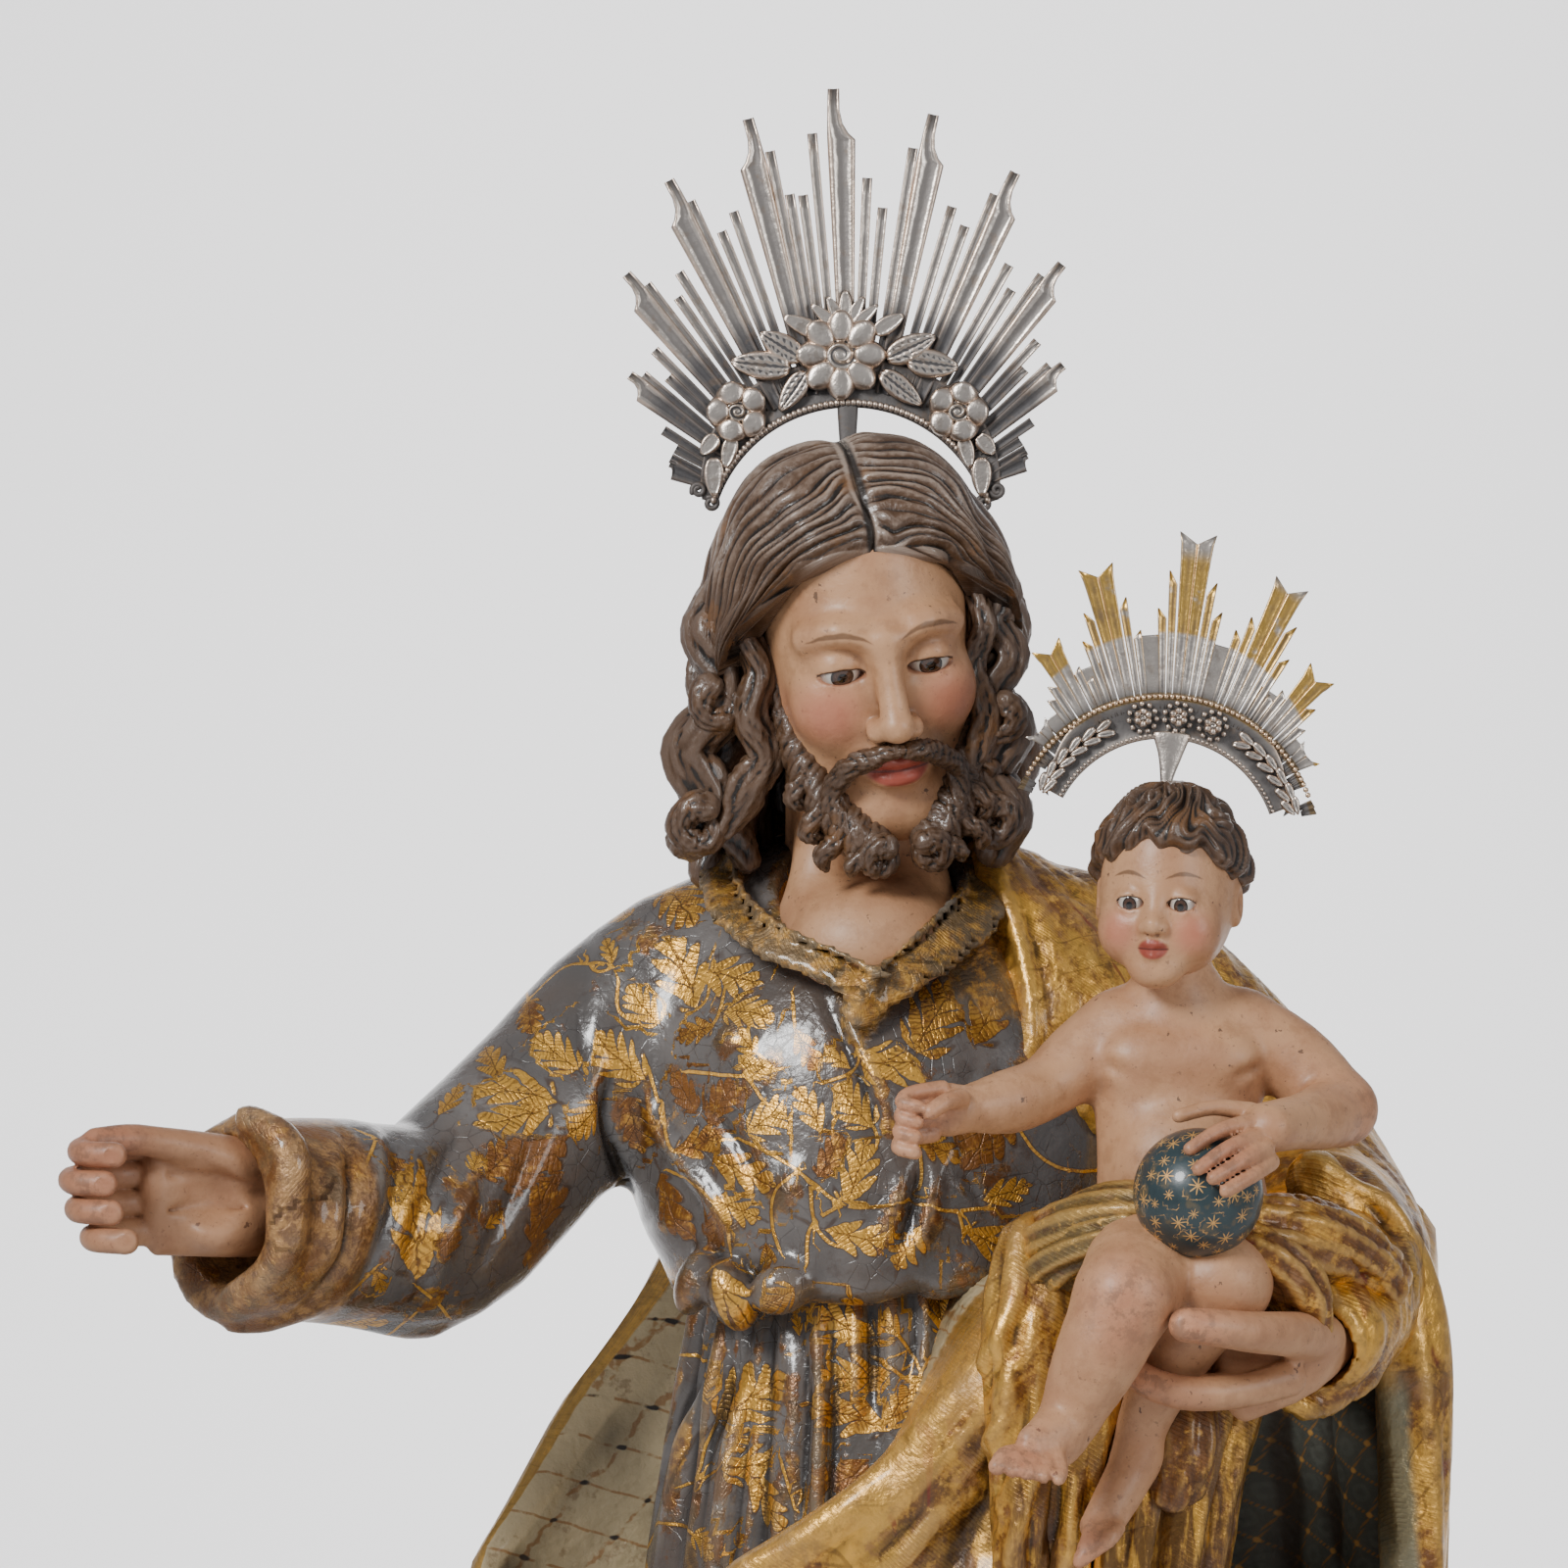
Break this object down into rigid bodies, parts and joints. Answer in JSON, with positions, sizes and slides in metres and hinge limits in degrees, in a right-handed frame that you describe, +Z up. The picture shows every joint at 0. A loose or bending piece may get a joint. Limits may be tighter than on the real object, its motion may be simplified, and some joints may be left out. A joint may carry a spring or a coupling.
{
  "type": "saint joseph with child statue",
  "caption": "Standing carved and painted wooden saint with one hand held out, a seated child with a globe on the other arm, and rayed silver halos, on a low moulded plinth.",
  "frame": {"origin": "centre of the plinth's underside, on the surface it stands on", "axes": "+Z up, +X towards the figure's left hand, the figure faces -Y"},
  "size_m": [0.4706, 0.3467, 1.075],
  "materials": {
    "tunic_paint": "glossy slate-grey oil paint over gold leaf, with scratched gold foliage",
    "mantle_gilding": "worn burnished gold leaf with brown glaze, grey-green lining with a gold lattice",
    "flesh_paint": "satin flesh paint with rosy shadows",
    "hair_paint": "satin dark brown paint, dusty on the ridges",
    "cloth_gilding": "worn gold leaf with olive and brown glaze",
    "globe_paint": "glossy dark teal with gold stars",
    "halo_silver": "chased silver sheet with dark patina in the recesses",
    "halo_silver_gilt": "thin silver sheet with worn gilding at the tips",
    "eye_glass": "glossy dark brown",
    "plinth_wood": "brown glaze over old gilding"
  },
  "bodies": {
    "root": {"plinth": "plinth_wood", "saint_figure": "tunic_paint", "right_hand": "flesh_paint", "left_hand": "flesh_paint", "child_figure": "flesh_paint", "globe": "globe_paint", "saint_halo": "halo_silver", "child_halo": "halo_silver_gilt"}
  },
  "joints": []
}
